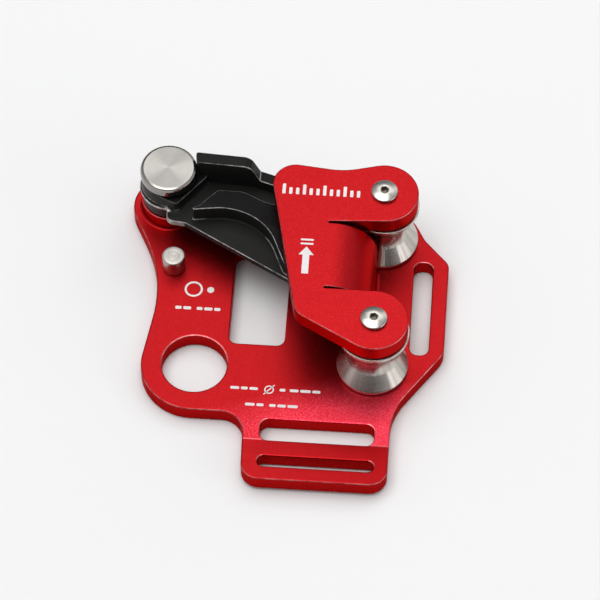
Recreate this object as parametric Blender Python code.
"""Chest ascender: a one-piece anodised body that wraps round the rope, a toothed
cam that swings on a pivot at the upper left, and two grooved rollers at the right.

Frame: metres, +Z up.  The body lies on its flat back (z = 0), the rope runs along
+Y ("up" in use) and the wall of the body that closes the rope channel is at +X.
"""
import bpy
import bmesh
import math
from mathutils import Matrix, Vector

MM = 0.001

# ---------------------------------------------------------------- dimensions (mm)
T_BACK = 4.4            # back plate thickness
GAP = 16.0              # clear height of the rope channel
T_FRONT = 4.4           # front plate and wall thickness
Z_IN = T_BACK           # inner face of the back plate
Z_FU = T_BACK + GAP     # underside of the front plate
Z_FT = Z_FU + T_FRONT   # outer face of the front plate
EDGE = 0.45             # chamfer along the plate edges
CLEAR = 0.3             # assembly clearance between touching pieces

PIVOT = (-30.0, 33.9)   # cam pivot axis
PIN = (-27.6, 16.05)    # stop pin axis
ROLL_UP = (22.5, 27.1)  # roller axes
ROLL_LO = (21.95, -8.95)
HOLE = (-20.4, -11.1)   # connector hole
HOLE_R = 7.8

WALL_OUT = 21.5         # outer face of the channel wall
BEND_R = 11.0           # outside radius of the bend into the front plate
WALL_Y0, WALL_Y1 = -0.35, 17.75
CREASE_Y = -31.05       # the lower tab bends slightly forward here
CREASE_SLOPE = math.tan(math.radians(4.0))

BOSS_R, BOSS_H = 6.9, 4.0       # pivot boss on the back plate
AXLE_R = 2.5
FLANGE_R, WAIST_R = 8.5, 5.3    # rollers
RIM = 0.5                       # thin cylindrical lip of a roller flange
GROOVE_R, FLANK = 6.0, 31.6     # groove bottom radius and flank angle (degrees)
WASHER_T = 0.45
HEAD_R = 6.9                    # pivot pin head

CAM_Z0 = Z_IN + 8.3     # underside of the cam plate
CAM_PLATE = 1.7
CAM_TOP = Z_IN + 14.3   # top of the thick arm and the nose
CAM_BOSS_TOP = Z_IN + 12.9
LEVER_TOP = Z_IN + 18.0
LEVER_X0, LEVER_W = 6.45, 1.55   # near end and half thickness of the thumb lever
RIB_TOP = Z_IN + 13.3   # the rib the lever steps down to
NOSE_Z0 = Z_IN + 2.0
NOSE_Z1 = Z_IN + 10.4    # the nose stays below the inside of the bend
SPIRAL_R, SPIRAL_K, SPIRAL_A = 52.4, 0.53, 28.0
TEETH = 11
TOOTH = 1.0


CENTRE = (-0.05, 0.348)  # middle of the outline, which becomes the origin


# ---------------------------------------------------------------- start clean
for ob in list(bpy.data.objects):
    bpy.data.objects.remove(ob, do_unlink=True)
for me in list(bpy.data.meshes):
    bpy.data.meshes.remove(me)


def material(name, rgb, rough, metal):
    m = bpy.data.materials.new(name)
    m.use_nodes = True
    b = m.node_tree.nodes["Principled BSDF"]
    b.inputs["Base Color"].default_value = (*rgb, 1.0)
    b.inputs["Roughness"].default_value = rough
    b.inputs["Metallic"].default_value = metal
    return m


RED = material("red_anodised", (0.62, 0.012, 0.018), 0.38, 0.75)
BLACK = material("black_steel", (0.012, 0.012, 0.013), 0.45, 0.6)
POLY = material("black_acetal", (0.015, 0.015, 0.015), 0.5, 0.0)
STEEL = material("stainless", (0.62, 0.6, 0.57), 0.28, 1.0)
BRONZE = material("bronze_bush", (0.45, 0.28, 0.12), 0.4, 1.0)
SPRING = material("spring_steel", (0.4, 0.4, 0.4), 0.35, 1.0)


# ---------------------------------------------------------------- 2-D outlines
def belt(circles, step=14.0):
    """A closed outline drawn like a belt over circles (x, y, radius, side).

    side +1 puts the circle inside the outline (a convex corner), side -1 puts it
    outside (a concave fillet).  The belt runs counter-clockwise and its straight
    runs are the common tangents.
    """
    n = len(circles)
    dirs = []
    for i in range(n):
        x0, y0, r0, s0 = circles[i]
        x1, y1, r1, s1 = circles[(i + 1) % n]
        dx, dy = x1 - x0, y1 - y0
        k = s1 * r1 - s0 * r0
        dirs.append(math.atan2(dy, dx) - math.asin(k / math.hypot(dx, dy)))
    pts = []
    for i in range(n):
        x, y, r, s = circles[i]
        a0, a1 = dirs[i - 1], dirs[i]
        turn = (a1 - a0) % (2 * math.pi)
        if s < 0 and turn > 0:
            turn -= 2 * math.pi
        if abs(turn) > 1.95 * math.pi:
            turn = 0.0
        m = max(1, int(math.ceil(abs(math.degrees(turn)) / step)))
        for j in range(m + 1):
            a = a0 + turn * j / m
            pts.append((x + s * r * math.sin(a), y - s * r * math.cos(a)))
    out = []
    for p in pts:
        if not out or math.hypot(p[0] - out[-1][0], p[1] - out[-1][1]) > 0.02:
            out.append(p)
    if math.hypot(out[0][0] - out[-1][0], out[0][1] - out[-1][1]) < 0.02:
        out.pop()
    return out


def circle(x, y, r, n=40):
    return [(x + r * math.cos(2 * math.pi * i / n), y + r * math.sin(2 * math.pi * i / n))
            for i in range(n)]


def box_outline(x0, y0, x1, y1, r, step=15.0):
    return belt([(x0 + r, y1 - r, r, 1), (x0 + r, y0 + r, r, 1),
                 (x1 - r, y0 + r, r, 1), (x1 - r, y1 - r, r, 1)], step)


def offset(pts, d):
    """The outline moved outwards by d along its mitred normals."""
    n = len(pts)
    out = []
    for i in range(n):
        x0, y0 = pts[i - 1]
        x1, y1 = pts[i]
        x2, y2 = pts[(i + 1) % n]
        ax, ay = y1 - y0, -(x1 - x0)
        bx, by = y2 - y1, -(x2 - x1)
        la, lb = math.hypot(ax, ay), math.hypot(bx, by)
        nx, ny = ax / la + bx / lb, ay / la + by / lb
        ln = math.hypot(nx, ny)
        nx, ny = nx / ln, ny / ln
        c = max(0.5, nx * ax / la + ny * ay / la)
        out.append((x1 + d * nx / c, y1 + d * ny / c))
    return out


# ---------------------------------------------------------------- solids
def place(p):
    """A point of the layout in metres, measured from the centred origin."""
    return ((p[0] - CENTRE[0]) * MM, (p[1] - CENTRE[1]) * MM, p[2] * MM)


def add_object(name, mesh, mat, origin=(0.0, 0.0, 0.0), smooth=True):
    """Makes the object; the mesh arrives in millimetres, before centring."""
    mesh.transform(Matrix.Translation([-c for c in origin]))
    mesh.transform(Matrix.Scale(MM, 4))
    mesh.materials.clear()
    mesh.materials.append(mat)
    ob = bpy.data.objects.new(name, mesh)
    ob.location = place(origin)
    bpy.context.scene.collection.objects.link(ob)
    if smooth:
        mesh.shade_smooth()
        mesh.set_sharp_from_angle(angle=math.radians(35.0))
    return ob


def rings_mesh(name, rings, cap=True):
    """A solid from stacked rings of points, bottom first, all the same length."""
    bm = bmesh.new()
    rows = [[bm.verts.new(p) for p in ring] for ring in rings]
    n = len(rows[0])
    for a, b in zip(rows, rows[1:]):
        for i in range(n):
            j = (i + 1) % n
            bm.faces.new((a[i], a[j], b[j], b[i]))
    if cap:
        bm.faces.new(list(reversed(rows[0])))
        bm.faces.new(rows[-1])
    bmesh.ops.recalc_face_normals(bm, faces=bm.faces)
    me = bpy.data.meshes.new(name)
    bm.to_mesh(me)
    bm.free()
    return me


def slab(name, pts, z0, z1, edge=0.0, bottom=None):
    """A plate: the outline between two heights, with chamfered rims."""
    bottom = edge if bottom is None else bottom
    rings = []
    if bottom > 0:
        rings.append([(x, y, z0) for x, y in offset(pts, -bottom)])
        rings.append([(x, y, z0 + bottom) for x, y in pts])
    else:
        rings.append([(x, y, z0) for x, y in pts])
    if edge > 0:
        rings.append([(x, y, z1 - edge) for x, y in pts])
        rings.append([(x, y, z1) for x, y in offset(pts, -edge)])
    else:
        rings.append([(x, y, z1) for x, y in pts])
    return rings_mesh(name, rings)


def hole_cutter(name, pts, z0, z1, edge):
    """Cuts the outline through a plate and breaks both rims."""
    o = 0.5
    rings = [[(x, y, z0 - o) for x, y in offset(pts, edge + o)],
             [(x, y, z0 + edge) for x, y in pts],
             [(x, y, z1 - edge) for x, y in pts],
             [(x, y, z1 + o) for x, y in offset(pts, edge + o)]]
    return rings_mesh(name, rings)


def turned(name, profile, cx, cy, n=32):
    """A turned piece: (radius, z) points from the top outside down to the bottom.

    A profile that starts and ends at radius 0 is closed on the axis; otherwise it
    is a closed loop, which leaves a bore.
    """
    bm = bmesh.new()
    solid = profile[0][0] == 0.0
    rows = []
    for r, z in profile:
        if r == 0.0:
            rows.append([bm.verts.new((cx, cy, z))])
        else:
            rows.append([bm.verts.new((cx + r * math.cos(2 * math.pi * i / n),
                                       cy + r * math.sin(2 * math.pi * i / n), z))
                         for i in range(n)])
    pairs = list(zip(rows, rows[1:]))
    if not solid:
        pairs.append((rows[-1], rows[0]))
    for a, b in pairs:
        for i in range(n):
            j = (i + 1) % n
            if len(a) == 1:
                bm.faces.new((a[0], b[i], b[j]))
            elif len(b) == 1:
                bm.faces.new((a[i], b[0], a[j]))
            else:
                bm.faces.new((a[i], b[i], b[j], a[j]))
    bmesh.ops.recalc_face_normals(bm, faces=bm.faces)
    me = bpy.data.meshes.new(name)
    bm.to_mesh(me)
    bm.free()
    return me


def temp(mesh):
    ob = bpy.data.objects.new("tmp_" + mesh.name, mesh)
    bpy.context.scene.collection.objects.link(ob)
    ob.hide_render = True
    ob.display_type = 'WIRE'
    return ob


def combine(base, steps):
    """Applies exact Booleans to a mesh in turn: steps of ('UNION'|'DIFFERENCE', mesh)."""
    ob = temp(base)
    others = []
    for op, mesh in steps:
        other = temp(mesh)
        others.append(other)
        mod = ob.modifiers.new(op.lower(), 'BOOLEAN')
        mod.operation = op
        mod.object = other
        mod.solver = 'EXACT'
    bpy.context.view_layer.update()
    ev = ob.evaluated_get(bpy.context.evaluated_depsgraph_get())
    result = bpy.data.meshes.new_from_object(ev)
    for o in [ob] + others:
        bpy.data.objects.remove(o, do_unlink=True)
    bm = bmesh.new()
    bm.from_mesh(result)
    bmesh.ops.remove_doubles(bm, verts=bm.verts, dist=0.004)
    bmesh.ops.dissolve_degenerate(bm, edges=bm.edges, dist=0.004)
    bm.to_mesh(result)
    bm.free()
    return result


# ---------------------------------------------------------------- body
def back_outline(step=14.0):
    px, py = PIVOT
    hx, hy = HOLE
    return belt([
        (px, py, 9.0, 1),                  # lobe round the cam pivot
        (px - 39.1, py - 26.9, 38.0, -1),  # waist on the left
        (hx, hy, 12.8, 1),                 # lobe round the connector hole
        (-13.1, -29.4, 5.5, -1),           # inside corner above the tab
        (-2.9, -37.8, 4.4, 1),             # tab corners
        (22.7, -37.8, 4.4, 1),
        (44.1, -26.5, 17.0, -1),           # sweep up to the side lug
        (32.8, -2.5, 6.0, 1),              # side lug, lower and upper corner
        (35.7, 20.0, 3.2, 1),
        (38.5, 32.0, 7.0, -1),
        (*ROLL_UP, 9.4, 1),                # lobe under the upper roller
        (-4.0, 76.0, 40.0, -1),            # dip in the top edge
    ], step)


def front_outline(step=14.0):
    """Front plate with its two arms; between them the wall tab, laid out flat."""
    flat_end = WALL_OUT - BEND_R
    tab_end = flat_end + (BEND_R - T_FRONT / 2) * math.pi / 2 + (Z_FT - BEND_R - Z_IN) + 1.0
    r = 8.2
    return belt([
        (*ROLL_UP, r, 1),                     # end of the upper arm
        (11.0, 33.2 + 18.0, 18.0, -1),        # shallow dip in the top edge
        (1.2, 28.6, 5.5, 1),                  # upper left corner
        (7.6, -4.9, 4.8, 1),                  # lower left corner
        (*ROLL_LO, r, 1),                     # end of the lower arm
        (flat_end - 0.6, WALL_Y0 - 0.2, 0.2, -1),   # slit under the wall
        (tab_end - 0.7, WALL_Y0 + 0.7, 0.7, 1),
        (tab_end - 0.7, WALL_Y1 - 0.7, 0.7, 1),
        (flat_end - 0.6, WALL_Y1 + 0.55, 0.55, -1),  # slit above the wall
    ], step), flat_end, tab_end


def bent_front():
    """The front plate's flat pattern, folded round the bend into the wall."""
    pts, flat_end, tab_end = front_outline()
    me = slab("front", pts, Z_FU, Z_FT, EDGE)
    bm = bmesh.new()
    bm.from_mesh(me)
    arc = (BEND_R - T_FRONT / 2) * math.pi / 2
    cuts = 9
    for i in range(cuts + 1):
        u = flat_end + arc * i / cuts
        bmesh.ops.bisect_plane(bm, geom=bm.verts[:] + bm.edges[:] + bm.faces[:],
                               plane_co=(u, 0, 0), plane_no=(1, 0, 0), dist=1e-5)
    cz = Z_FT - BEND_R
    for v in bm.verts:
        x, y, z = v.co
        if x <= flat_end + 1e-6 or not (WALL_Y0 - 0.01 < y < WALL_Y1 + 0.01):
            continue
        rad = z - cz
        a = min(x - flat_end, arc) / (BEND_R - T_FRONT / 2)
        v.co.x = flat_end + rad * math.sin(a)
        v.co.z = cz + rad * math.cos(a)
        if x > flat_end + arc:
            v.co.x = flat_end + rad
            v.co.z = cz - (x - flat_end - arc)
    bmesh.ops.recalc_face_normals(bm, faces=bm.faces)
    out = bpy.data.meshes.new("bent_front")
    bm.to_mesh(out)
    bm.free()
    return out


def body():
    plate = slab("back", back_outline(), 0.0, T_BACK, EDGE)
    px, py = PIVOT
    cut = 'DIFFERENCE'
    steps = [
        ('UNION', bent_front()),
        ('UNION', turned("boss", [(0.0, Z_IN + BOSS_H), (BOSS_R - 0.35, Z_IN + BOSS_H),
                                  (BOSS_R, Z_IN + BOSS_H - 0.35), (BOSS_R, Z_IN + 1.0),
                                  (BOSS_R + 0.3, Z_IN + 0.3), (BOSS_R + 1.0, Z_IN - 0.1),
                                  (BOSS_R + 1.0, Z_IN - 1.0), (0.0, Z_IN - 1.0)], px, py)),
        (cut, hole_cutter("hole", circle(*HOLE, HOLE_R, 44), 0.0, T_BACK, 0.6)),
        (cut, hole_cutter("mid_slot", box_outline(-12.8, -4.7, 0.6, 22.0, 2.0), 0.0, T_BACK, EDGE)),
        (cut, hole_cutter("side_slot", box_outline(30.5, -5.1, 35.1, 21.3, 2.0), 0.0, T_BACK, EDGE)),
        (cut, hole_cutter("tab_slot_a", box_outline(-3.5, -31.1, 23.5, -25.3, 2.0), 0.0, T_BACK, EDGE)),
        (cut, hole_cutter("tab_slot_b", box_outline(-3.5, -38.5, 23.8, -35.45, 1.4), 0.0, T_BACK, EDGE)),
        # pivot bore with a counterbore for the flush screw at the back
        (cut, turned("pivot_bore", [(0.0, 20.0), (AXLE_R + CLEAR, 20.0), (AXLE_R + CLEAR, 2.3),
                                    (4.4, 2.3), (4.4, -1.0), (0.0, -1.0)], px, py, 24)),
        (cut, turned("pin_bore", [(0.0, 8.0), (1.8, 8.0), (1.8, -1.0), (0.0, -1.0)],
                     *PIN, 20)),
    ]
    for tag, axis in (("u", ROLL_UP), ("l", ROLL_LO)):
        steps.append((cut, turned("axle_bore_" + tag,
                                  [(0.0, 10.0), (AXLE_R + CLEAR, 10.0), (AXLE_R + CLEAR, 1.6),
                                   (3.9, 1.6), (3.9, -1.0), (0.0, -1.0)], *axis, 24)))
        steps.append((cut, turned("screw_bore_" + tag,
                                  [(0.0, 30.0), (1.9, 30.0), (1.9, 15.0), (0.0, 15.0)],
                                  *axis, 20)))
    me = combine(plate, steps)
    # the lower tab leans forward from a crisp crease
    bm = bmesh.new()
    bm.from_mesh(me)
    bmesh.ops.bisect_plane(bm, geom=bm.verts[:] + bm.edges[:] + bm.faces[:],
                           plane_co=(0, CREASE_Y, 0), plane_no=(0, 1, 0), dist=1e-5)
    for v in bm.verts:
        if v.co.y < CREASE_Y:
            v.co.z += (CREASE_Y - v.co.y) * CREASE_SLOPE
    bm.to_mesh(me)
    bm.free()
    return add_object("body", me, RED)


# ---------------------------------------------------------------- cam
def spiral(phi_deg, dr=0.0):
    """A point of the nose's gripping face, phi measured clockwise from +X."""
    rho = SPIRAL_R * math.exp(SPIRAL_K * math.radians(phi_deg - SPIRAL_A)) + dr
    a = math.radians(-phi_deg)
    return (rho * math.cos(a), rho * math.sin(a))


def nose_outline():
    """Saw teeth along a logarithmic spiral, steep side towards the top."""
    lo, hi = 36.2, 17.5      # the upper end stays clear of the upper roller
    pts = []
    for i in range(TEETH):
        a = lo + (hi - lo) * i / TEETH
        b = lo + (hi - lo) * (i + 1) / TEETH
        pts.append(spiral(a, -TOOTH))
        pts.append(spiral(a + (b - a) * 0.72, 0.0))
        pts.append(spiral(a + (b - a) * 0.86, 0.0))
    pts.append(spiral(hi, -TOOTH))
    pts += [(41.0, -12.2), (36.4, -11.6), (35.0, -13.4), (35.4, -20.0), (36.6, -27.6), (37.8, -29.6)]
    return pts


def shift(pts, d):
    return [(x + d[0], y + d[1]) for x, y in pts]


def lever():
    """The thumb lever: a bar standing on the cam whose far end steps down to a rib.

    The side view is drawn as a belt in (x, z) and given its thickness across it,
    along a line that bends towards the nose beyond x = 20.
    """
    z0 = CAM_Z0 + 0.7
    side = belt([(LEVER_X0 + 0.5, LEVER_TOP - 0.5, 0.5, 1), (LEVER_X0 + 0.5, z0 + 0.5, 0.5, 1),
                 (37.0, z0 + 0.6, 0.6, 1), (37.0, RIB_TOP - 1.4, 0.6, 1), (30.0, RIB_TOP - 1.2, 1.2, 1),
                 (22.7, RIB_TOP + 0.9, 0.9, -1), (18.0, LEVER_TOP - 2.7, 2.7, 1)], 22.0)
    rows = [[(x, t, z) for x, z in offset(side, off)]
            for t, off in ((-LEVER_W, -0.3), (-LEVER_W + 0.3, 0.0), (LEVER_W - 0.3, 0.0), (LEVER_W, -0.3))]
    bm = bmesh.new()
    bm.from_mesh(rings_mesh("lever", rows))
    for i in range(6):
        bmesh.ops.bisect_plane(bm, geom=bm.verts[:] + bm.edges[:] + bm.faces[:],
                               plane_co=(20.0 + 3.0 * i, 0, 0), plane_no=(1, 0, 0), dist=1e-5)
    for v in bm.verts:
        x = v.co.x
        k = (x - 20.0) / 3.0
        if 0.0 < k < 5.0:            # straight between the cuts, so every face stays flat
            a = math.floor(k + 1e-6)
            y = lever_line(20.0 + 3.0 * a) * (1 - (k - a)) + lever_line(23.0 + 3.0 * a) * (k - a)
        elif k >= 5.0:
            y = lever_line(35.0) + (x - 35.0) * (lever_line(35.0) - lever_line(32.0)) / 3.0
        else:
            y = lever_line(x)
        v.co = (x + PIVOT[0], y + v.co.y + PIVOT[1], v.co.z)
    bmesh.ops.recalc_face_normals(bm, faces=bm.faces)
    me = bpy.data.meshes.new("cam_lever")
    bm.to_mesh(me)
    bm.free()
    return me


def lever_line(x):
    bend = 0.0 if x < 20.0 else 0.19 * (x - 20.0) ** 1.12
    return 2.2 - 0.055 * (x - 8.75) - bend


def leaning(me):
    """Lets the arm's top face fall away gently behind a line across it."""
    nx, ny, d0, slope = 0.35, 0.94, 4.0, 0.12
    bm = bmesh.new()
    bm.from_mesh(me)
    bmesh.ops.bisect_plane(bm, geom=bm.verts[:] + bm.edges[:] + bm.faces[:],
                           plane_co=(PIVOT[0], PIVOT[1] - d0 / ny, 0), plane_no=(nx, ny, 0), dist=1e-5)
    for v in bm.verts:
        if v.co.z > CAM_TOP - 0.8:
            v.co.z -= slope * max(0.0, nx * (v.co.x - PIVOT[0]) + ny * (v.co.y - PIVOT[1]) + d0)
    bm.to_mesh(me)
    bm.free()
    return me


def cam():
    p = PIVOT
    plate = belt([(0, 0, 7.0, 1), (-0.5, -7.79, 0.6, -1), (1.95, -9.5, 1.85, 1), (4.25, -13.64, 2.0, -1), (31.3, -25.5, 1.0, 1),
                  (42.9, -31.2, 1.4, 1), (38.8, -5.8, 2.0, 1), (21.5, 1.3, 2.0, 1)])
    collar = belt([(0, 0, 7.05, 1), (2.15, -7.05, 1.1, 1), (8.2, 0.6, 1.0, 1)], 12.0)
    arm = belt([(7.0, -10.1, 0.35, 1), (14.0, -23.6, 14.0, -1), (30.6, -23.4, 1.4, 1),
                (42.7, -30.8, 1.4, 1), (38.6, -6.1, 2.1, 1), (27.5, 3.8, 11.0, -1),
                (17.0, -9.7, 5.8, 1), (12.9, -5.4, 1.4, 1), (6.89, -7.49, 2.0, -1)], 12.0)
    me = combine(slab("cam_plate", shift(plate, p), CAM_Z0, CAM_Z0 + CAM_PLATE, 0.25), [
        ('UNION', slab("cam_collar", shift(collar, p), CAM_Z0 + 0.05, CAM_BOSS_TOP, 0.35, 0.0)),
        ('UNION', leaning(slab("cam_arm", shift(arm, p), CAM_Z0 + 0.3, CAM_TOP, 0.3, 0.0))),
        ('UNION', slab("cam_nose", shift(nose_outline(), p), NOSE_Z0, NOSE_Z1, 0.0)),
        ('UNION', lever()),
        # the end of the lever is hollowed to clear the pin's head
        ('DIFFERENCE', turned("head_room", [(0.0, 40.0), (HEAD_R + 0.25, 40.0),
                                            (HEAD_R + 0.25, CAM_BOSS_TOP + 0.2), (0.0, CAM_BOSS_TOP + 0.2)],
                              *p, 56)),
        ('DIFFERENCE', turned("cam_bore", [(0.0, 30.0), (4.0, 30.0), (4.0, 5.0), (0.0, 5.0)],
                              *p, 28)),
    ])
    return add_object("cam", me, BLACK, (p[0], p[1], CAM_Z0))


# ---------------------------------------------------------------- turned pieces
def ring(name, mat, x, y, r_in, r_out, z0, z1, edge=0.0, n=32):
    if edge > 0:
        prof = [(r_in, z1), (r_out - edge, z1), (r_out, z1 - edge), (r_out, z0 + edge),
                (r_out - edge, z0), (r_in, z0)]
    else:
        prof = [(r_in, z1), (r_out, z1), (r_out, z0), (r_in, z0)]
    return add_object(name, turned(name, prof, x, y, n), mat, (x, y, z0))


def socket_cutter(x, y, z0, z1, across):
    r = across / math.sqrt(3.0)
    return rings_mesh("socket", [[(px, py, z0) for px, py in circle(x, y, r, 6)],
                                 [(px, py, z1) for px, py in circle(x, y, r, 6)]])


def pivot_group():
    x, y = PIVOT
    top = Z_IN + 16.3
    # the pin: a wide flat head on a shank that runs down to the back plate
    head_z = top - 2.7
    prof = [(0.0, top), (HEAD_R - 0.7, top), (HEAD_R - 0.2, top - 0.2), (HEAD_R, top - 0.7),
            (HEAD_R, head_z + 0.3), (HEAD_R - 0.3, head_z), (AXLE_R, head_z),
            (AXLE_R, 2.3), (0.0, 2.3)]
    add_object("cam_pivot_pin", turned("cam_pivot_pin", prof, x, y, 40), STEEL, (x, y, head_z))
    back = turned("back_screw", [(0.0, 2.0), (4.1, 2.0), (4.1, 0.3), (3.8, 0.05), (0.0, 0.05)], x, y, 28)
    back = combine(back, [('DIFFERENCE', socket_cutter(x, y, -1.0, 1.3, 3.0))])
    add_object("pivot_back_screw", back, STEEL, (x, y, 0.0))
    ring("pivot_washer", STEEL, x, y, AXLE_R + 0.3, 5.8, head_z - 0.2 - 0.4, head_z - 0.2, 0.0)
    ring("cam_bushing", BRONZE, x, y, AXLE_R + 0.3, 3.7, CAM_Z0 + 0.1, CAM_BOSS_TOP - 0.1, 0.0, 28)
    # spring cup between the boss and the cam: an open-topped cup
    z0, z1 = Z_IN + BOSS_H + 0.2, CAM_Z0 - 0.2
    cup = [(AXLE_R + 0.3, z0 + 0.8), (5.7, z0 + 0.8), (5.7, z1), (6.35, z1), (6.5, z1 - 0.2),
           (6.5, z0 + 0.2), (6.3, z0), (AXLE_R + 0.3, z0)]
    add_object("spring_cup", turned("spring_cup", cup, x, y), POLY, (x, y, z0))
    # torsion spring, coiled round the pin inside the cup
    turns, per = 3.0, 20
    wire, rad = 0.36, 4.3
    za, zb = z0 + 0.8 + wire + 0.12, z1 - wire - 0.12
    cu = bpy.data.curves.new("cam_spring", 'CURVE')
    cu.dimensions = '3D'
    cu.bevel_depth = wire * MM
    cu.bevel_resolution = 2
    cu.use_fill_caps = True
    sp = cu.splines.new('POLY')
    count = int(turns * per) + 1
    sp.points.add(count - 1)
    for i in range(count):
        t = i / (count - 1)
        a = 2 * math.pi * turns * t
        sp.points[i].co = (rad * math.cos(a) * MM, rad * math.sin(a) * MM,
                           (za + (zb - za) * t) * MM, 1.0)
    ob = bpy.data.objects.new("cam_spring", cu)
    ob.location = place((x, y, 0.0))
    bpy.context.scene.collection.objects.link(ob)
    cu.materials.append(SPRING)


def stop_pin():
    x, y = PIN
    z0 = Z_IN + 0.2
    top = Z_IN + 5.0
    prof = [(0.0, top), (2.2, top), (2.6, top - 0.15), (2.8, top - 0.5), (2.8, z0),
            (1.5, z0), (1.5, 0.1), (0.0, 0.1)]
    add_object("stop_pin", turned("stop_pin", prof, x, y, 28), STEEL, (x, y, z0))


def roller_group(tag, x, y):
    z0 = Z_IN + 0.2
    ring(tag + "_roller_back_washer", STEEL, x, y, AXLE_R + 0.3, 5.0, z0, z0 + WASHER_T, 0.0, 28)
    zt = Z_FU - 0.2
    ring(tag + "_roller_front_washer", STEEL, x, y, AXLE_R + 0.3, 5.0, zt - WASHER_T, zt, 0.0, 28)
    r0, r1 = z0 + WASHER_T + 0.2, zt - WASHER_T - 0.2
    mid, half = (r0 + r1) / 2, (r1 - r0) / 2
    # rope groove: a rounded bottom between two straight conical flanks
    bore = 3.9
    prof = [(bore, r1), (FLANGE_R - 0.2, r1), (FLANGE_R, r1 - 0.2), (FLANGE_R, r1 - RIM)]
    for i in range(9):
        a = math.radians(FLANK) * (1 - i / 4)
        prof.append((WAIST_R + GROOVE_R * (1 - math.cos(a)), mid + GROOVE_R * math.sin(a)))
    prof += [(FLANGE_R, r0 + RIM), (FLANGE_R, r0 + 0.2), (FLANGE_R - 0.2, r0), (bore, r0)]
    add_object(tag + "_roller", turned(tag + "_roller", prof, x, y, 36), STEEL, (x, y, mid))
    ring(tag + "_roller_bushing", BRONZE, x, y, AXLE_R + 0.3, 3.6, r0 + 0.1, r1 - 0.1, 0.0, 28)
    # barrel axle: flush head in the back plate, threaded bore from the front
    axle = turned("axle", [(0.0, Z_FU - 0.1), (AXLE_R, Z_FU - 0.1), (AXLE_R, 1.35), (3.6, 1.35),
                           (3.6, 0.3), (3.4, 0.05), (0.0, 0.05)], x, y, 28)
    axle = combine(axle, [
        ('DIFFERENCE', turned("thread", [(0.0, 30.0), (1.75, 30.0), (1.75, 13.0), (0.0, 13.0)], x, y, 20)),
        ('DIFFERENCE', socket_cutter(x, y, -1.0, 1.1, 2.5))])
    add_object(tag + "_axle", axle, STEEL, (x, y, 0.0))
    # button-head screw through the arm into the axle
    zt = Z_FT + 0.1
    head = [(0.0, zt + 1.55)]
    for i in range(1, 6):
        a = math.radians(90.0 - 15.0 * i)
        head.append((3.1 * math.cos(a), zt + 0.25 + 1.3 * math.sin(a)))
    head += [(3.1, zt + 0.15), (3.1, zt), (1.5, zt), (1.5, 13.4), (0.0, 13.4)]
    screw = combine(turned("screw", head, x, y, 28),
                    [('DIFFERENCE', socket_cutter(x, y, zt + 0.45, zt + 3.0, 2.0))])
    add_object(tag + "_axle_screw", screw, STEEL, (x, y, zt))


body()
cam()
pivot_group()
stop_pin()
roller_group("upper", *ROLL_UP)
roller_group("lower", *ROLL_LO)
